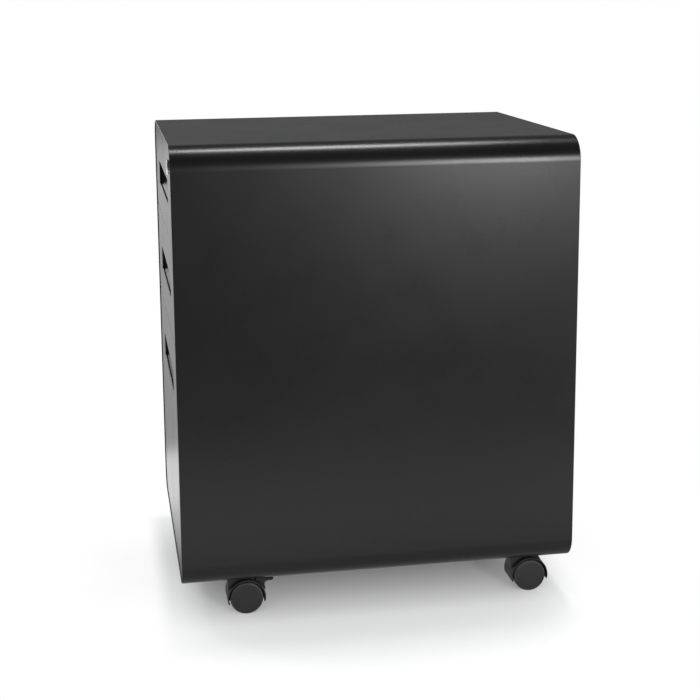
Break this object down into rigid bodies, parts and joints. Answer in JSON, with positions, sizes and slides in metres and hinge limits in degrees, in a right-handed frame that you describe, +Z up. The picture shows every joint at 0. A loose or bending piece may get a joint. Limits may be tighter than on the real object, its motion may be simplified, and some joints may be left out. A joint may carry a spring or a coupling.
{
  "type": "rolling pedestal cabinet",
  "caption": "Under-desk drawer pedestal with a wrapped, round-edged steel shell, grip-slot drawer fronts, a corner lock and hooded twin-wheel casters, braked in front.",
  "frame": {"origin": "on the floor, under the middle of the shell; the lock head stands 2 mm in front of the shell, so the box's own middle is 1 mm further forward", "axes": "+Z up; the drawers open towards -Y; +X is the right-hand side seen from the front"},
  "size_m": [0.39, 0.502, 0.6],
  "materials": {
    "powder_coat": "satin black powder coat",
    "tray_paint": "matt black paint",
    "zinc_steel": "bright zinc plate",
    "lock_nickel": "polished nickel plate",
    "moulded_plastic": "fine-grained moulded black nylon",
    "wheel_nylon": "matt black nylon"
  },
  "bodies": {
    "cabinet": {"shell": "powder_coat", "rear_panel": "powder_coat", "caster_rail_front": "zinc_steel", "caster_rail_rear": "zinc_steel", "upright_front_left": "zinc_steel", "upright_front_right": "zinc_steel", "upright_rear_left": "zinc_steel", "upright_rear_right": "zinc_steel", "lock_housing": "zinc_steel", "lock_bar_guide": "zinc_steel", "drawer_1_slide_fixed_left": "zinc_steel", "drawer_1_slide_fixed_right": "zinc_steel", "drawer_2_slide_fixed_left": "zinc_steel", "drawer_2_slide_fixed_right": "zinc_steel", "drawer_3_slide_fixed_left": "zinc_steel", "drawer_3_slide_fixed_right": "zinc_steel", "caster_stem_front_left": "zinc_steel", "caster_stem_front_right": "zinc_steel", "caster_stem_rear_left": "zinc_steel", "caster_stem_rear_right": "zinc_steel"},
    "drawer_1": {"drawer_1_front": "powder_coat", "drawer_1_tray": "tray_paint", "drawer_1_grip_cup": "moulded_plastic", "drawer_1_slide_moving_left": "zinc_steel", "drawer_1_slide_moving_right": "zinc_steel"},
    "drawer_2": {"drawer_2_front": "powder_coat", "drawer_2_tray": "tray_paint", "drawer_2_grip_cup": "moulded_plastic", "drawer_2_slide_moving_left": "zinc_steel", "drawer_2_slide_moving_right": "zinc_steel"},
    "drawer_3": {"drawer_3_front": "powder_coat", "drawer_3_tray": "tray_paint", "drawer_3_grip_cup": "moulded_plastic", "drawer_3_slide_moving_left": "zinc_steel", "drawer_3_slide_moving_right": "zinc_steel", "file_rail_left": "tray_paint", "file_rail_right": "tray_paint"},
    "drawer_3_middle_slides": {"drawer_3_slide_middle_left": "zinc_steel", "drawer_3_slide_middle_right": "zinc_steel"},
    "lock_barrel": {"lock_cylinder": "lock_nickel", "lock_cam": "zinc_steel"},
    "lock_bar": {"lock_bar": "zinc_steel"},
    "caster_front_left": {"caster_hood_front_left": "moulded_plastic", "caster_axle_front_left": "zinc_steel"},
    "wheel_front_left_left": {"caster_wheel_front_left_left": "wheel_nylon"},
    "wheel_front_left_right": {"caster_wheel_front_left_right": "wheel_nylon"},
    "brake_pedal_front_left": {"brake_pedal_front_left": "moulded_plastic"},
    "caster_front_right": {"caster_hood_front_right": "moulded_plastic", "caster_axle_front_right": "zinc_steel"},
    "wheel_front_right_left": {"caster_wheel_front_right_left": "wheel_nylon"},
    "wheel_front_right_right": {"caster_wheel_front_right_right": "wheel_nylon"},
    "brake_pedal_front_right": {"brake_pedal_front_right": "moulded_plastic"},
    "caster_rear_left": {"caster_hood_rear_left": "moulded_plastic", "caster_axle_rear_left": "zinc_steel"},
    "wheel_rear_left_left": {"caster_wheel_rear_left_left": "wheel_nylon"},
    "wheel_rear_left_right": {"caster_wheel_rear_left_right": "wheel_nylon"},
    "caster_rear_right": {"caster_hood_rear_right": "moulded_plastic", "caster_axle_rear_right": "zinc_steel"},
    "wheel_rear_right_left": {"caster_wheel_rear_right_left": "wheel_nylon"},
    "wheel_rear_right_right": {"caster_wheel_rear_right_right": "wheel_nylon"}
  },
  "joints": [
    {"name": "drawer_1_slide", "type": "slide", "parent": "cabinet", "child": "drawer_1", "axis": [0, -1, 0], "range_m": [0, 0.34]},
    {"name": "drawer_2_slide", "type": "slide", "parent": "cabinet", "child": "drawer_2", "axis": [0, -1, 0], "range_m": [0, 0.34]},
    {"name": "drawer_3_slide", "type": "slide", "parent": "cabinet", "child": "drawer_3", "axis": [0, -1, 0], "range_m": [0, 0.43]},
    {"name": "drawer_3_middle_slide", "type": "slide", "parent": "cabinet", "child": "drawer_3_middle_slides", "axis": [0, -1, 0], "range_m": [0, 0.215]},
    {"name": "lock_turn", "type": "hinge", "parent": "cabinet", "child": "lock_barrel", "pos_m": [0.161, -0.2487, 0.573], "axis": [0, 1, 0], "range_deg": [0, 90]},
    {"name": "lock_bar_drop", "type": "slide", "parent": "cabinet", "child": "lock_bar", "axis": [0, 0, -1], "range_m": [0, 0.00848]},
    {"name": "caster_swivel_front_left", "type": "hinge", "parent": "cabinet", "child": "caster_front_left", "pos_m": [-0.1446, -0.186, 0.052], "axis": [0, 0, 1], "continuous": true},
    {"name": "wheel_spin_front_left_left", "type": "hinge", "parent": "caster_front_left", "child": "wheel_front_left_left", "pos_m": [-0.1446, -0.1674, 0.021], "axis": [1, 0, 0], "continuous": true},
    {"name": "wheel_spin_front_left_right", "type": "hinge", "parent": "caster_front_left", "child": "wheel_front_left_right", "pos_m": [-0.1446, -0.1674, 0.021], "axis": [1, 0, 0], "continuous": true},
    {"name": "brake_press_front_left", "type": "hinge", "parent": "caster_front_left", "child": "brake_pedal_front_left", "pos_m": [-0.1446, -0.1529, 0.041], "axis": [-1, 0, 0], "range_deg": [0, 6]},
    {"name": "caster_swivel_front_right", "type": "hinge", "parent": "cabinet", "child": "caster_front_right", "pos_m": [0.1446, -0.186, 0.052], "axis": [0, 0, 1], "continuous": true},
    {"name": "wheel_spin_front_right_left", "type": "hinge", "parent": "caster_front_right", "child": "wheel_front_right_left", "pos_m": [0.1446, -0.1674, 0.021], "axis": [1, 0, 0], "continuous": true},
    {"name": "wheel_spin_front_right_right", "type": "hinge", "parent": "caster_front_right", "child": "wheel_front_right_right", "pos_m": [0.1446, -0.1674, 0.021], "axis": [1, 0, 0], "continuous": true},
    {"name": "brake_press_front_right", "type": "hinge", "parent": "caster_front_right", "child": "brake_pedal_front_right", "pos_m": [0.1446, -0.1529, 0.041], "axis": [-1, 0, 0], "range_deg": [0, 6]},
    {"name": "caster_swivel_rear_left", "type": "hinge", "parent": "cabinet", "child": "caster_rear_left", "pos_m": [-0.1446, 0.186, 0.052], "axis": [0, 0, 1], "continuous": true},
    {"name": "wheel_spin_rear_left_left", "type": "hinge", "parent": "caster_rear_left", "child": "wheel_rear_left_left", "pos_m": [-0.1446, 0.2046, 0.021], "axis": [1, 0, 0], "continuous": true},
    {"name": "wheel_spin_rear_left_right", "type": "hinge", "parent": "caster_rear_left", "child": "wheel_rear_left_right", "pos_m": [-0.1446, 0.2046, 0.021], "axis": [1, 0, 0], "continuous": true},
    {"name": "caster_swivel_rear_right", "type": "hinge", "parent": "cabinet", "child": "caster_rear_right", "pos_m": [0.1446, 0.186, 0.052], "axis": [0, 0, 1], "continuous": true},
    {"name": "wheel_spin_rear_right_left", "type": "hinge", "parent": "caster_rear_right", "child": "wheel_rear_right_left", "pos_m": [0.1446, 0.2046, 0.021], "axis": [1, 0, 0], "continuous": true},
    {"name": "wheel_spin_rear_right_right", "type": "hinge", "parent": "caster_rear_right", "child": "wheel_rear_right_right", "pos_m": [0.1446, 0.2046, 0.021], "axis": [1, 0, 0], "continuous": true}
  ],
  "couplings": [
    {"joint": "drawer_3_middle_slide", "follows": "drawer_3_slide", "ratio": 0.5},
    {"joint": "lock_turn", "follows": "lock_bar_drop", "rad_per_m": 185.12}
  ]
}
